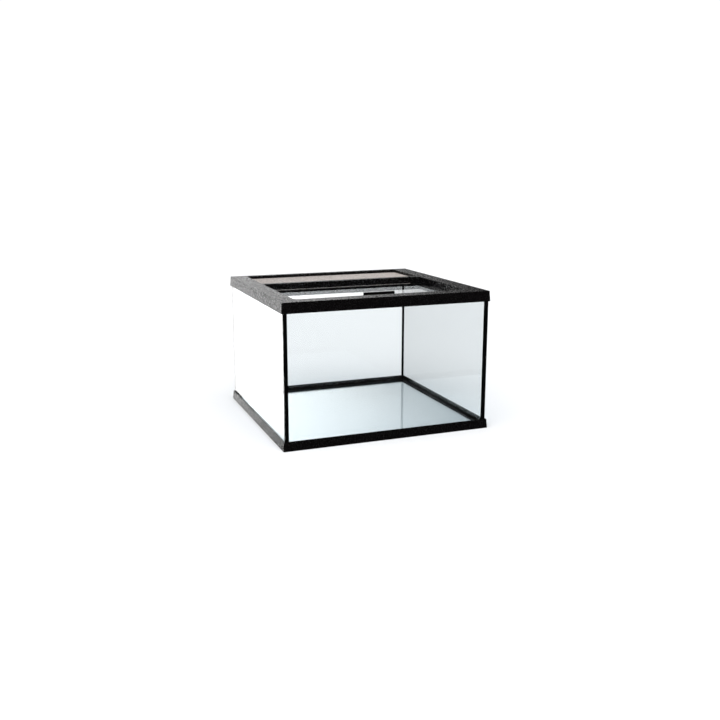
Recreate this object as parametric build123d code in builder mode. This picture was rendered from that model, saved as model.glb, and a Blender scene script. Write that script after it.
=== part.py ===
from build123d import *
import os

# Glass hamster tank: five bonded panes between a moulded base frame and a moulded top frame.
# A glass lid slides rearwards in grooves below the top frame, under a fixed mesh vent.
# Frame of the model: origin on the table under the middle, +X to the right, -Y to the front, +Z up.
# All sizes are in millimetres.

os.makedirs("parts", exist_ok=True)

# ---------------------------------------------------------------- overall sizes
overall_width = 463.5  # X, at the lower edge of the top frame
overall_depth = 444.0  # Y, at the lower edge of the top frame
overall_height = 304.0  # Z, table to the top face of the top frame

# ---------------------------------------------------------------- glass and silicone
glass_thickness = 4.8
glass_edge_bevel = 0.4  # the arris ground off every cut edge
joint_film = 0.6  # silicone between two panes
bead_leg = 4.4  # silicone bead in an inside corner, along each pane
bead_hollow = 6.2  # radius of the bead's hollow face
sealant_gap = 0.5  # silicone between the glass and a frame

# ---------------------------------------------------------------- frame mouldings
trim_wall = 2.7  # thickness of a skirt at its open edge
trim_overhang = trim_wall + sealant_gap

base_height = 20.0
base_corner_radius = 2.0
base_flare = 1.6  # how much further out the base stands on the table
base_top_rounding = 1.6
base_foot_rounding = 0.8
base_ledge_top = 4.6
base_ledge_thickness = 2.5
base_ledge_reach = 3.0  # how far the ledge reaches under the floor pane
base_rib = 2.5  # rib along the ledge's inner edge
base_opening_radius = 6.0

skirt_height = 22.4
skirt_corner_radius = 2.0
skirt_draft = 1.4  # how far the skirt leans in from its lower edge to the top
skirt_top_rounding = 1.0
top_sealant_inset = 2.2  # how far inside the skirt its silicone stops
top_plate = 2.5
opening_wall = 2.5  # wall hanging round each opening
opening_radius = 6.0
opening_lip_rounding = 0.8

side_rail = 38.0  # widths of the top frame's rails, seen from above
front_rail = 38.0
rear_rail = 16.0
crossbar_front = 275.0  # crossbar's front face, from the front of the frame
crossbar_width = 15.0

# ---------------------------------------------------------------- sliding lid
lid_depth_below_top = 15.0
lid_thickness = 3.2
lid_corner_radius = 3.0
lid_overlap = 11.0  # how far the lid's sides reach under the side rails
lid_front_overlap = 12.5  # how far its front edge reaches under the front rail
lid_headroom = 0.5  # free height above the lid
lid_slide_gap = 0.2  # free height below the lid
lid_edge_gap = 0.5  # free space at the lid's edges
lid_rear_cover = 2.0  # how far the closed lid stops short of the crossbar's back

track_ledge_reach = 10.0  # how far the ledge shows inside the opening
track_ledge_thickness = 4.6
track_wall = 2.5

handle_width = 70.0
handle_depth = 22.0
handle_flange = 2.5
handle_blade = 5.0
handle_rise = 17.0  # top of the handle above the lid
handle_corner_radius = 1.5
handle_edge_rounding = 0.8
handle_root_fillet = 1.5  # where the blade rises from the flange
handle_setback = 61.0  # handle's front face, from the front of the frame
pad_thickness = 0.8
pad_inset = 3.0

# ---------------------------------------------------------------- vent
mesh_depth_below_top = 6.9
mesh_thickness = 0.6
mesh_margin = 6.0  # how far the mesh reaches under the frame at its sides and front
vent_ring_thickness = 2.4
vent_flange = 2.5
vent_fit_gap = 0.5

# ---------------------------------------------------------------- places worked out from the sizes
box_width = overall_width - 2 * trim_overhang  # over the glass
box_depth = overall_depth - 2 * trim_overhang
inner_width = box_width - 2 * glass_thickness  # between the inner faces of the walls
inner_depth = box_depth - 2 * glass_thickness
channel_width = box_width + 2 * sealant_gap  # inside faces of the frame skirts
channel_depth = box_depth + 2 * sealant_gap

glass_bottom = base_ledge_top + joint_film
floor_top = glass_bottom + glass_thickness
plate_bottom = overall_height - top_plate
glass_top = plate_bottom - sealant_gap
skirt_bottom = overall_height - skirt_height

floor_width = inner_width - 2 * joint_film
floor_depth = inner_depth - 2 * joint_film
base_opening_width = floor_width - 2 * base_ledge_reach
base_opening_depth = floor_depth - 2 * base_ledge_reach

frame_front = -overall_depth / 2
opening_width = overall_width - 2 * side_rail
front_opening = (frame_front + front_rail, frame_front + crossbar_front)
rear_opening = (front_opening[1] + crossbar_width, overall_depth / 2 - rear_rail)

lid_top = overall_height - lid_depth_below_top
lid_bottom = lid_top - lid_thickness
ledge_top = lid_bottom - lid_slide_gap
ledge_bottom = ledge_top - track_ledge_thickness
lid_width = opening_width + 2 * lid_overlap
lid_front = front_opening[0] - lid_front_overlap
lid_rear = rear_opening[0] - lid_rear_cover
track_reach = floor_width / 2  # the tracks are bonded to the side panes
track_inner = opening_width / 2 - track_ledge_reach
track_groove = lid_width / 2 + lid_edge_gap

mesh_top = overall_height - mesh_depth_below_top
mesh_bottom = mesh_top - mesh_thickness
mesh_width = opening_width + 2 * mesh_margin
mesh_span = (rear_opening[0] - mesh_margin, rear_opening[1] + opening_wall)
vent_ring_bottom = mesh_bottom - vent_ring_thickness
vent_ring_width = mesh_width + 2 * (vent_fit_gap + vent_flange)
vent_ring_front = mesh_span[0] - vent_fit_gap - vent_flange


def middle(span):
    return (span[0] + span[1]) / 2


def length(span):
    return span[1] - span[0]


# ---------------------------------------------------------------- base frame
with BuildPart() as base_frame:
    with BuildSketch(Plane.XY):
        RectangleRounded(
            overall_width + 2 * base_flare, overall_depth + 2 * base_flare, base_corner_radius
        )
    with BuildSketch(Plane.XY.offset(base_height)):
        RectangleRounded(overall_width, overall_depth, base_corner_radius)
    loft(ruled=True)
    fillet(base_frame.edges().group_by(Axis.Z)[-1], base_top_rounding)
    fillet(base_frame.edges().group_by(Axis.Z)[0], base_foot_rounding)
    # the channel that holds the glass
    with BuildSketch(Plane.XY.offset(base_ledge_top)):
        Rectangle(channel_width, channel_depth)
    extrude(amount=base_height - base_ledge_top, mode=Mode.SUBTRACT)
    # the open middle under the floor
    with BuildSketch(Plane.XY):
        RectangleRounded(base_opening_width, base_opening_depth, base_opening_radius)
    extrude(amount=base_ledge_top, mode=Mode.SUBTRACT)
    # the hollow underside, between the outer wall and the inner rib
    with BuildSketch(Plane.XY):
        Rectangle(channel_width, channel_depth)
        RectangleRounded(
            base_opening_width + 2 * base_rib,
            base_opening_depth + 2 * base_rib,
            base_opening_radius + base_rib,
            mode=Mode.SUBTRACT,
        )
    extrude(amount=base_ledge_top - base_ledge_thickness, mode=Mode.SUBTRACT)

with BuildPart() as base_sealant:
    # the bed on the ledge, under the walls and the rim of the floor
    with BuildSketch(Plane.XY.offset(base_ledge_top)):
        Rectangle(channel_width, channel_depth)
        RectangleRounded(
            base_opening_width, base_opening_depth, base_opening_radius, mode=Mode.SUBTRACT
        )
    extrude(amount=joint_film)
    # the film between the walls and the frame
    with BuildSketch(Plane.XY.offset(glass_bottom)):
        Rectangle(channel_width, channel_depth)
        Rectangle(box_width, box_depth, mode=Mode.SUBTRACT)
    extrude(amount=base_height - base_top_rounding - glass_bottom)


# ---------------------------------------------------------------- glass
def cut_pane(width, depth, height, centre):
    """A rectangular pane with its arrises ground off, standing on the centre of its underside."""
    with BuildPart(Location(centre)) as pane:
        Box(width, depth, height, align=(Align.CENTER, Align.CENTER, Align.MIN))
        chamfer(pane.edges(), glass_edge_bevel)
    return pane


wall_height = glass_top - glass_bottom
front_y = (box_depth - glass_thickness) / 2
side_x = (box_width - glass_thickness) / 2

front_pane = cut_pane(box_width, glass_thickness, wall_height, (0, -front_y, glass_bottom))
back_pane = cut_pane(box_width, glass_thickness, wall_height, (0, front_y, glass_bottom))
left_pane = cut_pane(glass_thickness, floor_depth, wall_height, (-side_x, 0, glass_bottom))
right_pane = cut_pane(glass_thickness, floor_depth, wall_height, (side_x, 0, glass_bottom))
floor_pane = cut_pane(floor_width, floor_depth, glass_thickness, (0, 0, glass_bottom))


# ---------------------------------------------------------------- silicone joints
def corner_seam(right, rear):
    """Joint between a side pane's edge and the front or back pane, with its bead inside the corner."""
    x_in = right * inner_width / 2
    y_in = rear * inner_depth / 2
    film_y = y_in - rear * joint_film
    with BuildPart() as seam:
        with BuildSketch(Plane.XY.offset(glass_bottom)):
            with Locations((right * side_x, middle((y_in, film_y)))):
                Rectangle(glass_thickness, joint_film)
        extrude(amount=wall_height)
        with BuildSketch(Plane.XY.offset(floor_top)):
            with BuildLine():
                Polyline(
                    (x_in, film_y - rear * bead_leg),
                    (x_in, y_in),
                    (x_in - right * bead_leg, y_in),
                )
                RadiusArc(
                    (x_in - right * bead_leg, y_in),
                    (x_in, film_y - rear * bead_leg),
                    right * rear * bead_hollow,
                )
            make_face()
        extrude(amount=ledge_bottom - floor_top)
    return seam


corner_seam_front_left = corner_seam(-1, -1)
corner_seam_front_right = corner_seam(1, -1)
corner_seam_rear_left = corner_seam(-1, 1)
corner_seam_rear_right = corner_seam(1, 1)
corner_seams = [
    corner_seam_front_left,
    corner_seam_front_right,
    corner_seam_rear_left,
    corner_seam_rear_right,
]


def floor_seam(plane, half_span, run, cut_by):
    """Joint between the floor's edge and a wall, with its bead above. In plane, X is across the tank,
    away from the wall's opposite side, and Y is up; the seam runs along the plane's normal."""
    with BuildPart() as seam:
        with BuildSketch(plane.offset(-run / 2)):
            with BuildLine():
                Polyline(
                    (half_span - joint_film - bead_leg, floor_top),
                    (half_span - joint_film, floor_top),
                    (half_span - joint_film, glass_bottom),
                    (half_span, glass_bottom),
                    (half_span, floor_top + bead_leg),
                )
                RadiusArc(
                    (half_span, floor_top + bead_leg),
                    (half_span - joint_film - bead_leg, floor_top),
                    bead_hollow,
                )
            make_face()
        extrude(amount=run)
        for other in cut_by:
            add(other.part, mode=Mode.SUBTRACT)
    return seam


across_front = Plane(origin=(0, 0, 0), x_dir=(0, -1, 0), z_dir=(-1, 0, 0))
across_back = Plane(origin=(0, 0, 0), x_dir=(0, 1, 0), z_dir=(1, 0, 0))
across_left = Plane(origin=(0, 0, 0), x_dir=(-1, 0, 0), z_dir=(0, 1, 0))
across_right = Plane(origin=(0, 0, 0), x_dir=(1, 0, 0), z_dir=(0, -1, 0))

floor_seam_front = floor_seam(across_front, inner_depth / 2, inner_width, corner_seams)
floor_seam_back = floor_seam(across_back, inner_depth / 2, inner_width, corner_seams)
end_seams = corner_seams + [floor_seam_front, floor_seam_back]
floor_seam_left = floor_seam(across_left, inner_width / 2, inner_depth, end_seams)
floor_seam_right = floor_seam(across_right, inner_width / 2, inner_depth, end_seams)

# ---------------------------------------------------------------- top frame
# each opening's front and back, and the height where the wall hanging round it ends
top_openings = (
    (front_opening, lid_top + lid_headroom),
    (rear_opening, mesh_top),
)

with BuildPart() as top_frame:
    with BuildSketch(Plane.XY.offset(skirt_bottom)):
        RectangleRounded(overall_width, overall_depth, skirt_corner_radius)
    with BuildSketch(Plane.XY.offset(overall_height)):
        RectangleRounded(
            overall_width - 2 * skirt_draft, overall_depth - 2 * skirt_draft, skirt_corner_radius
        )
    loft(ruled=True)
    fillet(top_frame.edges().group_by(Axis.Z)[-1], skirt_top_rounding)
    # the inside of the skirt, up to the plate
    with BuildSketch(Plane.XY.offset(skirt_bottom)):
        Rectangle(channel_width, channel_depth)
    extrude(amount=plate_bottom - skirt_bottom, mode=Mode.SUBTRACT)
    # a wall hanging round each opening, then the opening itself
    for span, wall_bottom in top_openings:
        with BuildSketch(Plane.XY.offset(wall_bottom)):
            with Locations((0, middle(span))):
                RectangleRounded(
                    opening_width + 2 * opening_wall,
                    length(span) + 2 * opening_wall,
                    opening_radius + opening_wall,
                )
        extrude(amount=plate_bottom - wall_bottom)
    for span, wall_bottom in top_openings:
        with BuildSketch(Plane.XY.offset(wall_bottom)):
            with Locations((0, middle(span))):
                RectangleRounded(opening_width, length(span), opening_radius)
        extrude(amount=overall_height - wall_bottom, mode=Mode.SUBTRACT)
    top_face = top_frame.faces().sort_by(Axis.Z)[-1]
    fillet(top_face.inner_wires().edges(), opening_lip_rounding)

with BuildPart() as top_sealant:
    with BuildSketch(Plane.XY.offset(skirt_bottom + top_sealant_inset)):
        Rectangle(channel_width, channel_depth)
        Rectangle(box_width, box_depth, mode=Mode.SUBTRACT)
    extrude(amount=plate_bottom - skirt_bottom - top_sealant_inset)
    with BuildSketch(Plane.XY.offset(glass_top)):
        Rectangle(channel_width, channel_depth)
        Rectangle(inner_width, inner_depth, mode=Mode.SUBTRACT)
    extrude(amount=sealant_gap)


# ---------------------------------------------------------------- lid tracks and rails
def side_track(right):
    """Ledge under the lid's side edge, with the wall that guides it."""
    with BuildPart() as track:
        with BuildSketch(Plane.XY.offset(ledge_bottom)):
            with Locations((right * middle((track_inner, track_reach)), 0)):
                Rectangle(track_reach - track_inner, floor_depth)
        extrude(amount=track_ledge_thickness)
        with BuildSketch(Plane.XY.offset(ledge_top)):
            with Locations((right * (track_groove + track_wall / 2), 0)):
                Rectangle(track_wall, floor_depth)
        extrude(amount=plate_bottom - ledge_top)
    return track


left_lid_track = side_track(-1)
right_lid_track = side_track(1)


def cross_rail(ledge, stop=None):
    """Ledge between the two tracks, with an optional upright wall that stops the lid."""
    with BuildPart() as rail:
        with BuildSketch(Plane.XY.offset(ledge_bottom)):
            with Locations((0, middle(ledge))):
                Rectangle(2 * track_inner, length(ledge))
        extrude(amount=track_ledge_thickness)
        if stop:
            with BuildSketch(Plane.XY.offset(ledge_top)):
                with Locations((0, middle(stop))):
                    Rectangle(2 * track_inner, length(stop))
            extrude(amount=plate_bottom - ledge_top)
    return rail


front_stop = lid_front - lid_edge_gap
rear_stop = floor_depth / 2 - track_wall
lid_travel = rear_stop - lid_edge_gap - lid_rear

front_lid_rail = cross_rail(
    (-floor_depth / 2, front_opening[0] + track_ledge_reach), (front_stop - track_wall, front_stop)
)
middle_lid_rail = cross_rail((front_opening[1] - track_ledge_reach, rear_opening[0]))
rear_lid_rail = cross_rail(
    (rear_opening[1] - track_ledge_reach, floor_depth / 2), (rear_stop, floor_depth / 2)
)

# ---------------------------------------------------------------- vent
with BuildPart() as vent_frame:
    ring_span = (vent_ring_front, mesh_span[1])
    with BuildSketch(Plane.XY.offset(vent_ring_bottom)):
        with Locations((0, middle(ring_span))):
            Rectangle(vent_ring_width, length(ring_span))
        with Locations((0, middle(rear_opening))):
            RectangleRounded(
                opening_width, length(rear_opening), opening_radius, mode=Mode.SUBTRACT
            )
    extrude(amount=vent_ring_thickness)
    # the flanges at the sides and front, bonded to the underside of the top plate
    with BuildSketch(Plane.XY.offset(mesh_bottom)):
        with Locations((0, middle(ring_span))):
            Rectangle(vent_ring_width, length(ring_span))
        with Locations((0, middle((vent_ring_front + vent_flange, ring_span[1] + vent_flange)))):
            Rectangle(
                vent_ring_width - 2 * vent_flange, length(ring_span), mode=Mode.SUBTRACT
            )
    extrude(amount=plate_bottom - mesh_bottom)

with BuildPart() as vent_mesh:
    with BuildSketch(Plane.XY.offset(mesh_bottom)):
        with Locations((0, middle(mesh_span))):
            Rectangle(mesh_width, length(mesh_span))
    extrude(amount=mesh_thickness)

# ---------------------------------------------------------------- lid
with BuildPart() as lid_glass:
    with BuildSketch(Plane.XY.offset(lid_bottom)):
        with Locations((0, middle((lid_front, lid_rear)))):
            RectangleRounded(lid_width, lid_rear - lid_front, lid_corner_radius)
    extrude(amount=lid_thickness)
    chamfer(
        lid_glass.edges().group_by(Axis.Z)[-1] + lid_glass.edges().group_by(Axis.Z)[0],
        glass_edge_bevel,
    )

handle_front = frame_front + handle_setback
handle_middle = handle_front + handle_depth / 2

with BuildPart() as handle_pad:
    with BuildSketch(Plane.XY.offset(lid_top)):
        with Locations((0, handle_middle)):
            RectangleRounded(
                handle_width - 2 * pad_inset, handle_depth - 2 * pad_inset, pad_inset
            )
    extrude(amount=pad_thickness)

with BuildPart() as lid_handle:
    # the flange that is bonded to the glass
    with BuildSketch(Plane.XY.offset(lid_top + pad_thickness)):
        with Locations((0, handle_middle)):
            Rectangle(handle_width, handle_depth)
    extrude(amount=handle_flange)
    fillet(lid_handle.edges().filter_by(Axis.Z).group_by(Axis.Y)[-1], handle_corner_radius)
    # the upright blade along its front
    with BuildSketch(Plane.XZ.offset(-handle_front)):
        with Locations((0, lid_top + pad_thickness)):
            Rectangle(
                handle_width, handle_rise - pad_thickness, align=(Align.CENTER, Align.MIN)
            )
    extrude(amount=-handle_blade)
    fillet(lid_handle.edges().filter_by(Axis.Y).group_by(Axis.Z)[-1], handle_corner_radius)
    rims = lid_handle.faces().sort_by(Axis.Z)[-1].edges().filter_by(Axis.X)
    fillet(rims, handle_edge_rounding)
    flange_face = lid_handle.faces().filter_by(Axis.Z).group_by(Axis.Z)[1]
    root = flange_face.edges().filter_by(Axis.X).sort_by(Axis.Y)[0]
    fillet(root, handle_root_fillet)

nodes = {
    "base_frame": base_frame,
    "base_sealant": base_sealant,
    "floor_pane": floor_pane,
    "front_pane": front_pane,
    "back_pane": back_pane,
    "left_pane": left_pane,
    "right_pane": right_pane,
    "corner_seam_front_left": corner_seam_front_left,
    "corner_seam_front_right": corner_seam_front_right,
    "corner_seam_rear_left": corner_seam_rear_left,
    "corner_seam_rear_right": corner_seam_rear_right,
    "floor_seam_front": floor_seam_front,
    "floor_seam_back": floor_seam_back,
    "floor_seam_left": floor_seam_left,
    "floor_seam_right": floor_seam_right,
    "top_frame": top_frame,
    "top_sealant": top_sealant,
    "left_lid_track": left_lid_track,
    "right_lid_track": right_lid_track,
    "front_lid_rail": front_lid_rail,
    "middle_lid_rail": middle_lid_rail,
    "rear_lid_rail": rear_lid_rail,
    "vent_frame": vent_frame,
    "vent_mesh": vent_mesh,
    "lid_glass": lid_glass,
    "handle_pad": handle_pad,
    "lid_handle": lid_handle,
}

for name, node in nodes.items():
    node.part.label = name
    export_step(node.part, f"parts/{name}.step")

print(f"{len(nodes)} nodes, lid travel {lid_travel:.2f} mm")
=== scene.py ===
# %% [markdown]
# # A glass hamster tank with a sliding lid
#
# The real tank is five panes of float glass stuck together with black silicone. A moulded black
# frame grips the panes at the foot and another at the top. A sheet of glass slides in grooves under
# the top frame, and a strip of woven wire at the back lets air in. The CAD model already holds every
# piece at its size, so this script loads it as a fixed frame and works on what the eye sees.

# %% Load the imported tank
import math

import bpy
import numpy as np
from mathutils import Euler, Matrix, Vector


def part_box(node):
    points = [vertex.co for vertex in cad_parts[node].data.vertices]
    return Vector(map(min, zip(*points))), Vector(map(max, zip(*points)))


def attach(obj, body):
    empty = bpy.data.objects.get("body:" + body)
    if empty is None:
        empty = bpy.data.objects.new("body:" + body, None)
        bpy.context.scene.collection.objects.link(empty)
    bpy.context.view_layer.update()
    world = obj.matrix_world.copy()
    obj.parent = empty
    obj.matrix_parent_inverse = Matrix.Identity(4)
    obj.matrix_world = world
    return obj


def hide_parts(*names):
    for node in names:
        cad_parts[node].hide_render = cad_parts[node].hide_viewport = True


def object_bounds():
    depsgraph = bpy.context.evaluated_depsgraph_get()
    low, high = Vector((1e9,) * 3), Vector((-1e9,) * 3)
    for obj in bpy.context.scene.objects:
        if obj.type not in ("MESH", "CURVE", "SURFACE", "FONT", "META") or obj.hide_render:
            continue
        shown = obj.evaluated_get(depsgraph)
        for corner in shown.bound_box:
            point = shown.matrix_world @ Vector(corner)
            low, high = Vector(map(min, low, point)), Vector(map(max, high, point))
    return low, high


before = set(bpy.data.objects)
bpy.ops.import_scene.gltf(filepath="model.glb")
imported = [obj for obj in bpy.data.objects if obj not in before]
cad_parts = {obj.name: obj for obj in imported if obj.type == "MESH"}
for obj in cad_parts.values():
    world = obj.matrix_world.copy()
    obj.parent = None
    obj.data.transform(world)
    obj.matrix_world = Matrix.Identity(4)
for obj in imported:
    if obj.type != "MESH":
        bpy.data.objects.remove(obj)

cad_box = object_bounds()
low_corner, high_corner = (Vector(corner) for corner in cad_box)
tank_size = high_corner - low_corner
print("tank", [round(1000 * side, 1) for side in tank_size], "mm;", len(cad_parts), "CAD nodes")

MM = 0.001

# %% [markdown]
# ## The camera
#
# The tank is looked at from in front and to its left, from a little above the lid. The camera could
# be aimed at a target with a constraint, but a heading and a tilt are plainer: the camera starts
# level, facing +Y, is tilted down, then turned towards +X.

# %% Camera
camera_place = Vector((-0.6878, -1.8114, 0.5635))  # metres, from the middle of the tank's foot
camera_heading = math.radians(-21.31)
camera_tilt = math.radians(12.75)
camera_roll = math.radians(0.03)

camera_data = bpy.data.cameras.new("studio_camera")
camera_data.sensor_width = 36.0
camera_data.lens = 42.875
camera_data.clip_start = 0.05
camera = bpy.data.objects.new("studio_camera", camera_data)
bpy.context.scene.collection.objects.link(camera)
camera.matrix_world = (
    Matrix.Translation(camera_place)
    @ Euler((math.pi / 2 - camera_tilt, 0, camera_heading)).to_matrix().to_4x4()
    @ Matrix.Rotation(camera_roll, 4, "Z")
)
bpy.context.scene.camera = camera
print("camera", round(camera_place.length, 2), "m from the tank,", camera_data.lens, "mm lens")

# %% [markdown]
# ## Colours and nodes
#
# Colours are written as the sRGB hex values that a paint chart or a screen shows. Shaders want
# linear light, so one function converts them. A second one adds any shader node, with its settings
# and the links into it, which keeps each material below short enough to read as a recipe.


# %% Two helpers for materials
def linear(hex_colour):
    """sRGB hex to linear light: straight near black, and a power of 2.4 above it."""
    srgb = np.array([int(hex_colour[i : i + 2], 16) for i in (1, 3, 5)]) / 255
    light = np.where(srgb <= 0.04045, srgb / 12.92, ((srgb + 0.055) / 1.055) ** 2.4)
    return (*light.tolist(), 1.0)


def add_node(tree, kind, settings=None, links=None):
    """Adds a node. A setting is a property of the node or the value of an input, by its name."""
    node = tree.nodes.new(kind)
    for name, value in (settings or {}).items():
        if isinstance(name, str) and hasattr(node, name):
            setattr(node, name, value)
        else:
            node.inputs[name].default_value = value
    for name, source in (links or {}).items():
        tree.links.new(source, node.inputs[name])
    return node


def new_material(name):
    """An empty node material, and the output node that its shaders go into."""
    material = bpy.data.materials.new(name)
    material.use_nodes = True
    tree = material.node_tree
    tree.nodes.clear()
    return material, tree, add_node(tree, "ShaderNodeOutputMaterial")


print("white is", linear("#FFFFFF")[0], "and mid grey is", round(linear("#808080")[0], 3))

# %% [markdown]
# ## Float glass
#
# The panes are clear float glass. Both faces are optically flat, so there is no roughness, and the
# index of refraction is the usual 1.52. Iron in the glass takes out some red, which can't be seen
# through a pane but turns a cut edge sea green. A tint on the surface would colour the pane and not
# the edge, so the colour is a real absorption inside the solid: the further light travels in the
# glass, the greener it gets. Lamps are let straight through, because a pane casts almost no shadow.

# %% Float glass
glass_ior = 1.52
pane_thickness = 4.8 * MM
absorbed_per_metre = np.array([8.0, 3.4, 2.6])  # red, green, blue
density_margin = 1.02  # keeps a little red in the volume's colour, which mustn't reach zero


def float_glass(name):
    """Clear glass: a bending, mirroring surface round a volume that takes out red light."""
    material, tree, output = new_material(name)
    body = add_node(tree, "ShaderNodeBsdfPrincipled", {
        "Base Color": linear("#FFFFFF"),
        "Roughness": 0.0,
        "IOR": glass_ior,
        "Transmission Weight": 1.0,
    })
    clear = add_node(tree, "ShaderNodeBsdfTransparent", {"Color": linear("#FBFCFD")})
    path = add_node(tree, "ShaderNodeLightPath")
    lets_through = add_node(tree, "ShaderNodeMath", {"operation": "MAXIMUM"}, {
        0: path.outputs["Is Shadow Ray"],
        1: path.outputs["Is Diffuse Ray"],
    })
    surface = add_node(tree, "ShaderNodeMixShader", {}, {
        0: lets_through.outputs[0],
        1: body.outputs[0],
        2: clear.outputs[0],
    })
    density = float(absorbed_per_metre.max()) * density_margin
    volume = add_node(tree, "ShaderNodeVolumeAbsorption", {
        "Color": (*(1 - absorbed_per_metre / density).tolist(), 1.0),
        "Density": density,
    })
    tree.links.new(surface.outputs[0], output.inputs["Surface"])
    tree.links.new(volume.outputs[0], output.inputs["Volume"])
    return material


pane_glass = float_glass("float_glass_polished")
through_pane = np.exp(-absorbed_per_metre * pane_thickness)
print("one pane passes", through_pane.round(3), "of red, green and blue")

# %% [markdown]
# ## Moulded frame plastic
#
# The two frames are injection moulded in black polystyrene. The steel mould was etched, so the outer
# faces carry a fine pebble grain that hides scuffs. The plastic itself is nearly black: what shows is
# the sheen, which at a low angle is strong and is broken up by the grain. The distance to the middle
# of a Voronoi cell grows outwards, so taking it away from the height leaves a rounded pebble in each
# cell. A noise lifts the pebbles in clumps, and a second noise makes the sheen a little uneven. The
# valleys carry painted shade for the pebbles round them: the lower the surface, the less it mirrors.

# %% Moulded frame plastic
pebble = 3.0 * MM  # a real pebble is about 0.5 mm, too fine to show from here: it is drawn coarser
sheen_patch = 4 * MM
cell_share = 0.4  # how much of the height is the pebble's own dome, against the clumps
grain_depth = 2.5 * MM


def moulded_polystyrene(name):
    """Black plastic with a pebble grain: height is a noise less cell_share times the cell distance."""
    material, tree, output = new_material(name)
    place = add_node(tree, "ShaderNodeTexCoord").outputs["Object"]
    cells = add_node(tree, "ShaderNodeTexVoronoi", {
        "feature": "SMOOTH_F1", "Scale": 1 / pebble, "Smoothness": 0.6, "Randomness": 1.0,
    }, {"Vector": place})
    clumps = add_node(tree, "ShaderNodeTexNoise", {
        "Scale": 0.4 / pebble, "Detail": 3.0, "Roughness": 0.6,
    }, {"Vector": place})
    patches = add_node(tree, "ShaderNodeTexNoise", {
        "Scale": 1 / sheen_patch, "Detail": 2.0, "Roughness": 0.5,
    }, {"Vector": place})
    height = add_node(tree, "ShaderNodeMath", {"operation": "MULTIPLY_ADD", 1: -cell_share}, {
        0: cells.outputs["Distance"], 2: clumps.outputs["Fac"],
    })
    bump = add_node(tree, "ShaderNodeBump", {"Strength": 1.0, "Distance": grain_depth}, {
        "Height": height.outputs[0],
    })
    gloss = add_node(tree, "ShaderNodeMapRange", {
        "From Min": 0.35, "From Max": 0.65, "To Min": 0.10, "To Max": 0.36,
    }, {"Value": patches.outputs["Fac"]})
    colour = add_node(tree, "ShaderNodeMixRGB", {
        "Color1": linear("#040404"), "Color2": linear("#0E0C0D"),
    }, {"Fac": clumps.outputs["Fac"]})
    # painted shade: the specular level is lowered where the grain is low, in the valleys
    painted_valley_shade = add_node(tree, "ShaderNodeMapRange", {
        "From Min": 0.15, "From Max": 0.55, "To Min": 0.10, "To Max": 0.58,
    }, {"Value": height.outputs[0]})
    body = add_node(tree, "ShaderNodeBsdfPrincipled", {"IOR": 1.59}, {
        "Base Color": colour.outputs[0],
        "Specular IOR Level": painted_valley_shade.outputs[0],
        "Roughness": gloss.outputs[0],
        "Normal": bump.outputs[0],
    })
    tree.links.new(body.outputs[0], output.inputs["Surface"])
    return material


frame_plastic = moulded_polystyrene("polystyrene_black_pebble_grain")
print("pebbles", round(pebble / MM, 2), "mm across")

# %% [markdown]
# ## Extruded track plastic
#
# The grooves that carry the lid are strips of the same plastic, but extruded. An extruded face is
# smooth across and has faint lines along the die's direction, left by small nicks in the die. They
# are a noise that is stretched along the strip: fine across it, and long along it.

# %% Extruded track plastic
die_line = 0.8 * MM
die_line_stretch = 200  # a line is this many times as long as it is wide


def extruded_plastic(name, along):
    """Smooth satin plastic with die lines: a noise die_line wide, and much longer."""
    material, tree, output = new_material(name)
    place = add_node(tree, "ShaderNodeTexCoord").outputs["Object"]
    stretch = [1 / die_line] * 3
    stretch["XYZ".index(along)] = 1 / (die_line_stretch * die_line)
    mapping = add_node(tree, "ShaderNodeMapping", {"Scale": stretch}, {"Vector": place})
    lines = add_node(tree, "ShaderNodeTexNoise", {"Scale": 1.0, "Detail": 2.0}, {
        "Vector": mapping.outputs[0],
    })
    bump = add_node(tree, "ShaderNodeBump", {"Strength": 0.2, "Distance": 0.05 * MM}, {
        "Height": lines.outputs["Fac"],
    })
    gloss = add_node(tree, "ShaderNodeMapRange", {"To Min": 0.26, "To Max": 0.38}, {
        "Value": lines.outputs["Fac"],
    })
    body = add_node(tree, "ShaderNodeBsdfPrincipled", {
        "Base Color": linear("#060606"), "IOR": 1.54, "Specular IOR Level": 0.15,
    }, {"Roughness": gloss.outputs[0], "Normal": bump.outputs[0]})
    tree.links.new(body.outputs[0], output.inputs["Surface"])
    return material


track_plastic = extruded_plastic("extruded_plastic_black_lengthways", "Y")
rail_plastic = extruded_plastic("extruded_plastic_black_crossways", "X")
print("die lines", round(die_line / MM, 2), "mm apart")

# %% [markdown]
# ## Silicone
#
# The seams are black aquarium silicone, pulled smooth with a wet finger. It cures to a soft gloss
# and the finger leaves slow ripples along the bead, which only the highlight shows. A low, wide
# noise makes the ripples, and the colour stays an even black.

# %% Silicone
ripple = 6 * MM


def tooled_silicone(name):
    """Black silicone: an even colour, a soft gloss and finger ripples from a slow noise."""
    material, tree, output = new_material(name)
    place = add_node(tree, "ShaderNodeTexCoord").outputs["Object"]
    waves = add_node(tree, "ShaderNodeTexNoise", {"Scale": 1 / ripple, "Detail": 2.0}, {
        "Vector": place,
    })
    bump = add_node(tree, "ShaderNodeBump", {"Strength": 0.3, "Distance": 0.4 * MM}, {
        "Height": waves.outputs["Fac"],
    })
    gloss = add_node(tree, "ShaderNodeMapRange", {"To Min": 0.28, "To Max": 0.42}, {
        "Value": waves.outputs["Fac"],
    })
    body = add_node(tree, "ShaderNodeBsdfPrincipled", {
        "Base Color": linear("#030303"), "IOR": 1.41, "Specular IOR Level": 0.12,
    }, {"Roughness": gloss.outputs[0], "Normal": bump.outputs[0]})
    tree.links.new(body.outputs[0], output.inputs["Surface"])
    return material


silicone = tooled_silicone("silicone_black_tooled")
print("ripples", round(ripple / MM, 1), "mm long")

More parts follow.
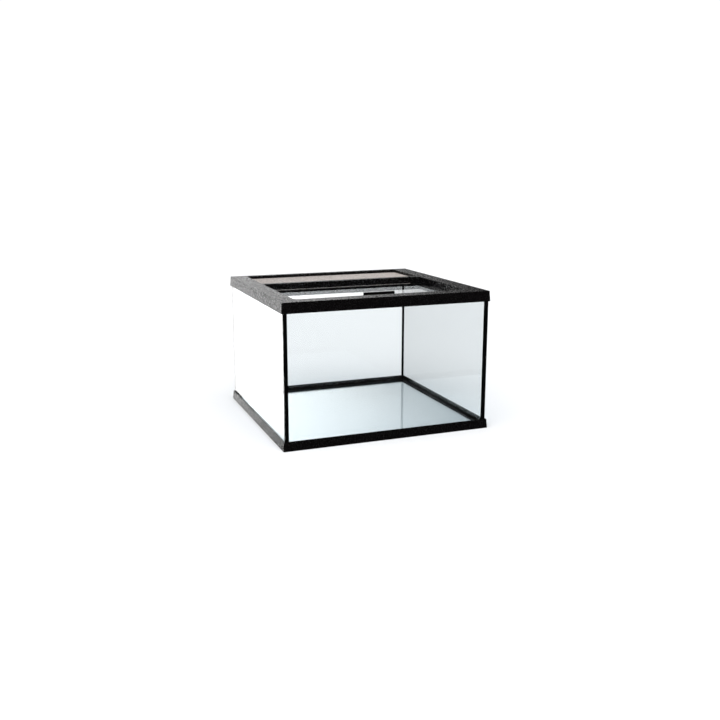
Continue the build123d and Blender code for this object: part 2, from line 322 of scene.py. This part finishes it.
# %% [markdown]
# ## The handle and its pad
#
# The handle is moulded in glossy black acrylic, with a very faint orange peel from the mould. It is
# held to the glass by a double-sided foam pad, whose cut edge shows open cells.

# %% Handle plastic and foam pad
orange_peel = 2.5 * MM
foam_cell = 0.35 * MM


def moulded_acrylic(name):
    """Glossy black plastic whose reflection wavers with a slow, low noise."""
    material, tree, output = new_material(name)
    place = add_node(tree, "ShaderNodeTexCoord").outputs["Object"]
    peel = add_node(tree, "ShaderNodeTexNoise", {"Scale": 1 / orange_peel, "Detail": 1.0}, {
        "Vector": place,
    })
    bump = add_node(tree, "ShaderNodeBump", {"Strength": 0.15, "Distance": 0.1 * MM}, {
        "Height": peel.outputs["Fac"],
    })
    gloss = add_node(tree, "ShaderNodeMapRange", {"To Min": 0.12, "To Max": 0.22}, {
        "Value": peel.outputs["Fac"],
    })
    body = add_node(tree, "ShaderNodeBsdfPrincipled", {
        "Base Color": linear("#060606"), "IOR": 1.49,
    }, {"Roughness": gloss.outputs[0], "Normal": bump.outputs[0]})
    tree.links.new(body.outputs[0], output.inputs["Surface"])
    return material


def cut_foam(name):
    """Dark foam: open cells from a Voronoi, deeper at their middles, with painted shade darkening them
    there.
    """
    material, tree, output = new_material(name)
    place = add_node(tree, "ShaderNodeTexCoord").outputs["Object"]
    cells = add_node(tree, "ShaderNodeTexVoronoi", {"Scale": 1 / foam_cell}, {"Vector": place})
    # painted shade: the colour is darker towards each cell's middle, where the pore is deepest
    colour = add_node(tree, "ShaderNodeMixRGB", {
        "Color1": linear("#1A1A1B"), "Color2": linear("#3A3A3C"),
    }, {"Fac": cells.outputs["Distance"]})
    bump = add_node(tree, "ShaderNodeBump", {"Strength": 0.6, "Distance": 0.1 * MM}, {
        "Height": cells.outputs["Distance"],
    })
    body = add_node(tree, "ShaderNodeBsdfPrincipled", {"Roughness": 0.9}, {
        "Base Color": colour.outputs[0], "Normal": bump.outputs[0],
    })
    tree.links.new(body.outputs[0], output.inputs["Surface"])
    return material


handle_plastic = moulded_acrylic("acrylic_black_gloss")
pad_foam = cut_foam("foam_tape_dark_grey")
print("foam cells", round(foam_cell / MM, 2), "mm")

# %% [markdown]
# ## Dress the CAD nodes
#
# A CAD node keeps its mesh and its place, and only the material in its slot changes. The list reads
# like the shopping list of the real tank: which pieces are glass, which are silicone, and so on.

# %% Give each CAD node its material
finishes = {
    pane_glass: ["floor_pane", "front_pane", "back_pane", "left_pane", "right_pane", "lid_glass"],
    frame_plastic: ["base_frame", "top_frame"],
    track_plastic: ["left_lid_track", "right_lid_track"],
    rail_plastic: ["front_lid_rail", "middle_lid_rail", "rear_lid_rail", "vent_frame"],
    silicone: [
        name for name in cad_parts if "seam" in name or "sealant" in name
    ],
    handle_plastic: ["lid_handle"],
    pad_foam: ["handle_pad"],
}
for material, names in finishes.items():
    for name in names:
        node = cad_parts[name]
        node.material_slots[0].material = material
    print(material.name, "on", len(names), "nodes")

# %% [markdown]
# ## Woven wire for the vent
#
# The vent is a strip of woven wire. In CAD it is a plain sheet, which keeps the physics simple but
# looks like sheet metal, so it is woven here for real. A bump or an alpha pattern would be cheaper,
# but through real wires the light falls into the tank as it should. Each wire passes over and under
# the ones that cross it, so its centre line is a wave whose crests lie at the crossings. Where two
# wires cross, one is at its crest and the other in its trough, so they pass without cutting in.


# %% Weave the vent mesh
def grid_object(name, points, faces):
    """A mesh object at the origin from arrays of points and of four-sided faces."""
    mesh = bpy.data.meshes.new(name)
    mesh.vertices.add(len(points))
    mesh.vertices.foreach_set("co", points.astype(np.float32).ravel())
    mesh.loops.add(faces.size)
    mesh.loops.foreach_set("vertex_index", faces.astype(np.int32).ravel())
    mesh.polygons.add(len(faces))
    mesh.polygons.foreach_set("loop_start", np.arange(0, faces.size, 4, dtype=np.int32))
    mesh.polygons.foreach_set("loop_total", np.full(len(faces), 4, dtype=np.int32))
    mesh.update(calc_edges=True)
    mesh.validate()
    piece = bpy.data.objects.new(name, mesh)
    bpy.context.scene.collection.objects.link(piece)
    return piece


wire_pitch = 2.2 * MM  # real cloth is finer: drawn coarser, to show and to keep the mesh light
wire_radius = 0.145 * MM
wire_sides = 4


def wire_set(along, across, run, rows, height, phase):
    """Parallel wavy wires as one array of points and one of faces.

    A point has two parameters: how far along the wire it is, and how far round it. The centre line
    is a cosine with one crest or trough at each crossing, and each next wire is half a wave behind.
    The section is a square on its corner, closed at both ends by a face.
    """
    stations = np.arange(run[0], run[1] + wire_pitch / 2, wire_pitch)
    lines = np.arange(rows[0], rows[1] + wire_pitch / 2, wire_pitch)
    turn = np.arange(wire_sides) * 2 * np.pi / wire_sides
    row, step, side = np.meshgrid(
        np.arange(len(lines)), np.arange(len(stations)), np.arange(wire_sides), indexing="ij"
    )
    points = np.empty((*row.shape, 3))
    points[..., along] = stations[step]
    points[..., across] = lines[row] + wire_radius * np.cos(turn[side])
    crest = np.cos(np.pi * (step + row + phase))
    points[..., 2] = height + wire_radius * (crest + np.sin(turn[side]))
    index = np.arange(row.size).reshape(row.shape)
    after = np.roll(index, -1, axis=2)
    walls = np.stack(
        [index[:, :-1], index[:, 1:], after[:, 1:], after[:, :-1]], axis=-1
    ).reshape(-1, 4)
    ends = np.concatenate([index[:, 0, :], index[:, -1, ::-1]])
    return points.reshape(-1, 3), np.concatenate([walls, ends])


def woven_wire(name, low, high):
    """Two sets of wires at right angles, half a wave apart, filling the box from low to high."""
    height = (low.z + high.z) / 2
    room = 2 * wire_radius
    x_run = (low.x + room, high.x - room)
    y_run = (low.y + room, high.y - room)
    weft, weft_faces = wire_set(0, 1, x_run, y_run, height, 0)
    warp, warp_faces = wire_set(1, 0, y_run, x_run, height, 1)
    faces = np.concatenate([weft_faces, warp_faces[:, ::-1] + len(weft)])
    return grid_object(name, np.concatenate([weft, warp]), faces)


vent_cloth = woven_wire("vent_wire_cloth", *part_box("vent_mesh"))
triangles = 2 * len(vent_cloth.data.polygons)
print("vent cloth:", triangles, "triangles,", round(wire_pitch / MM, 1), "mm pitch")

# %% [markdown]
# ## Wire finish
#
# The wire is aluminium under a dull clear lacquer, so it scatters light more like pale paint than
# like bare metal, and only a fifth of it is metallic. Each stretch of wire takes the light a little
# differently, so a noise varies the roughness.


# %% Lacquered aluminium
def lacquered_aluminium(name):
    """Dull warm aluminium: one fifth metallic, with a roughness that changes along the cloth."""
    material, tree, output = new_material(name)
    place = add_node(tree, "ShaderNodeTexCoord").outputs["Object"]
    spread = add_node(tree, "ShaderNodeTexNoise", {
        "Scale": 1 / (3 * wire_pitch), "Detail": 2.0,
    }, {"Vector": place})
    gloss = add_node(tree, "ShaderNodeMapRange", {"To Min": 0.35, "To Max": 0.55}, {
        "Value": spread.outputs["Fac"],
    })
    body = add_node(tree, "ShaderNodeBsdfPrincipled", {
        "Base Color": linear("#D2C9C4"), "Metallic": 0.2,
    }, {"Roughness": gloss.outputs[0]})
    tree.links.new(body.outputs[0], output.inputs["Surface"])
    return material


vent_cloth.data.materials.append(lacquered_aluminium("aluminium_wire_lacquered"))
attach(vent_cloth, "tank")
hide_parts("vent_mesh")
print("vent cloth rides on the tank")

# %% [markdown]
# ## Floor
#
# The tank stands on a plain white floor, as on a studio table. Seen in the black plastic, a mirror
# image of that floor would wash out the front of the frames, so a ray that has been mirrored passes
# through the floor and meets the dark room. The patch under the tank stays, because the tank's own
# glass mirrors it. The floor also casts no shadow, or it would hide every light below its level.

# %% Floor
floor_reach = 14.0
board_mottle = 1 / 3  # metres from one faint cloud of tone to the next
half_bounce = 0.5  # a ray mirrored once or more has a glossy depth above this
floor_points = np.array([[-1, -1, 0], [1, -1, 0], [1, 1, 0], [-1, 1, 0]]) * floor_reach
floor = grid_object("studio_floor", floor_points, np.array([[0, 1, 2, 3]]))
floor_finish, floor_tree, floor_output = new_material("painted_board_white")
floor_place = add_node(floor_tree, "ShaderNodeTexCoord").outputs["Object"]
floor_mottle = add_node(floor_tree, "ShaderNodeTexNoise", {"Scale": 1 / board_mottle, "Detail": 2.0}, {
    "Vector": floor_place,
})
floor_colour = add_node(floor_tree, "ShaderNodeMixRGB", {
    "Color1": linear("#F1F2F4"), "Color2": linear("#F3F4F6"),
}, {"Fac": floor_mottle.outputs["Fac"]})
floor_body = add_node(floor_tree, "ShaderNodeBsdfPrincipled", {
    "Roughness": 1.0, "Specular IOR Level": 0.0,
}, {"Base Color": floor_colour.outputs[0]})
floor_path = add_node(floor_tree, "ShaderNodeLightPath")
floor_sides = add_node(floor_tree, "ShaderNodeSeparateXYZ", {}, {
    0: add_node(floor_tree, "ShaderNodeVectorMath", {"operation": "ABSOLUTE"}, {
        0: floor_place,
    }).outputs[0],
})


def exceeds(value, limit):
    """One where the value is above the limit, and zero elsewhere."""
    return add_node(floor_tree, "ShaderNodeMath", {"operation": "GREATER_THAN", 1: limit}, {
        0: value,
    }).outputs[0]


mirrored = exceeds(floor_path.outputs["Glossy Depth"], half_bounce)
outside_tank = add_node(floor_tree, "ShaderNodeMath", {"operation": "MAXIMUM"}, {
    0: exceeds(floor_sides.outputs["X"], tank_size.x / 2),
    1: exceeds(floor_sides.outputs["Y"], tank_size.y / 2),
})
left_out = add_node(floor_tree, "ShaderNodeMath", {"operation": "MULTIPLY"}, {
    0: mirrored, 1: outside_tank.outputs[0],
})
floor_clear = add_node(floor_tree, "ShaderNodeBsdfTransparent")
floor_surface = add_node(floor_tree, "ShaderNodeMixShader", {}, {
    0: left_out.outputs[0], 1: floor_body.outputs[0], 2: floor_clear.outputs[0],
})
floor_tree.links.new(floor_surface.outputs[0], floor_output.inputs["Surface"])
floor.data.materials.append(floor_finish)
floor.visible_shadow = False
print("floor", 2 * floor_reach, "m wide")

# %% [markdown]
# ## Studio light
#
# Clear glass and black plastic have almost no colour of their own, so they show by what they mirror.
# Two lit sheets stand behind the tank. The low one lies mostly under the table's level, where the
# left side's faces look, and turns them light grey. The high one is weaker, and is what the top rails
# and the lid mirror. The room behind the camera is dark, and so is the front, which mirrors it. Lamps
# could stand in for the sheets, but a patch of brightness in the world has soft edges and no
# distance, so every face sees it in the same direction. One wide, soft lamp overhead lights the
# floor, and is left out of every reflection.


# %% Studio world
def band(tree, angle, none_below, full_from, full_to, none_above):
    """One between the two middle angles (degrees), zero outside the outer two, smooth between."""
    edges = [(none_below, full_from), (none_above, full_to)]
    rise, fall = (
        add_node(tree, "ShaderNodeMapRange", {
            "interpolation_type": "SMOOTHSTEP",
            "From Min": math.radians(dark), "From Max": math.radians(lit),
        }, {"Value": angle}).outputs[0]
        for dark, lit in edges
    )
    return add_node(tree, "ShaderNodeMath", {"operation": "MULTIPLY"}, {0: rise, 1: fall}).outputs[0]


def lit_sheet(tree, heading, height, headings, heights, strength):
    """A soft-edged rectangle of light: strength times a band of headings times one of heights."""
    across = band(tree, heading, *headings)
    upwards = band(tree, height, *heights)
    area = add_node(tree, "ShaderNodeMath", {"operation": "MULTIPLY"}, {0: across, 1: upwards})
    return add_node(tree, "ShaderNodeMath", {"operation": "MULTIPLY", 1: strength}, {
        0: area.outputs[0],
    }).outputs[0]


room_brightness = 0.02
backdrop_brightness = 1.05  # what the camera sees straight behind the tank

# Degrees from +Y, and above the table's level: dark, fully lit, still lit, dark.
low_headings, low_heights, low_strength = (-23, -19, -5, 1), (-21, -13, -3, 2), 3.0
high_headings, high_heights, high_strength = (-14, -6, 13, 31), (1, 6, 20, 25), 2.2

world = bpy.data.worlds.new("white_studio")
world.use_nodes = True
bpy.context.scene.world = world
sky = world.node_tree
sky.nodes.clear()
direction = add_node(sky, "ShaderNodeTexCoord").outputs["Generated"]
parts = add_node(sky, "ShaderNodeSeparateXYZ", {}, {0: direction})
heading = add_node(sky, "ShaderNodeMath", {"operation": "ARCTAN2"}, {
    0: parts.outputs["X"], 1: parts.outputs["Y"],
}).outputs[0]
height = add_node(sky, "ShaderNodeMath", {"operation": "ARCSINE"}, {
    0: parts.outputs["Z"],
}).outputs[0]
low_sheet = lit_sheet(sky, heading, height, low_headings, low_heights, low_strength)
high_sheet = lit_sheet(sky, heading, height, high_headings, high_heights, high_strength)
both = add_node(sky, "ShaderNodeMath", {"operation": "ADD"}, {0: low_sheet, 1: high_sheet})
brightness = add_node(sky, "ShaderNodeMath", {"operation": "ADD", 1: room_brightness}, {
    0: both.outputs[0],
})
ray = add_node(sky, "ShaderNodeLightPath")
seen = add_node(sky, "ShaderNodeMix", {"data_type": "FLOAT", "B": backdrop_brightness}, {
    0: ray.outputs["Is Camera Ray"], "A": brightness.outputs[0],
})
backdrop = add_node(sky, "ShaderNodeBackground", {"Color": linear("#FFFFFF")}, {
    "Strength": seen.outputs[0],
})
add_node(sky, "ShaderNodeOutputWorld", {}, {"Surface": backdrop.outputs[0]})
print("two lit sheets in a room of brightness", room_brightness)

# %% Wide overhead lamp
lamp_shines_towards = Vector((0.30, 0.50, -1.0))
lamp_data = bpy.data.lights.new("overhead_lamp", "SUN")
lamp_data.angle = math.radians(90)
lamp_data.energy = 4.4
lamp = bpy.data.objects.new("overhead_lamp", lamp_data)
bpy.context.scene.collection.objects.link(lamp)
lamp.rotation_euler = lamp_shines_towards.to_track_quat("-Z", "Y").to_euler()
lamp.visible_glossy = False
bpy.context.scene.view_settings.view_transform = "Standard"
print("lamp", lamp_data.energy, "W/m2 over", round(math.degrees(lamp_data.angle)), "degrees")
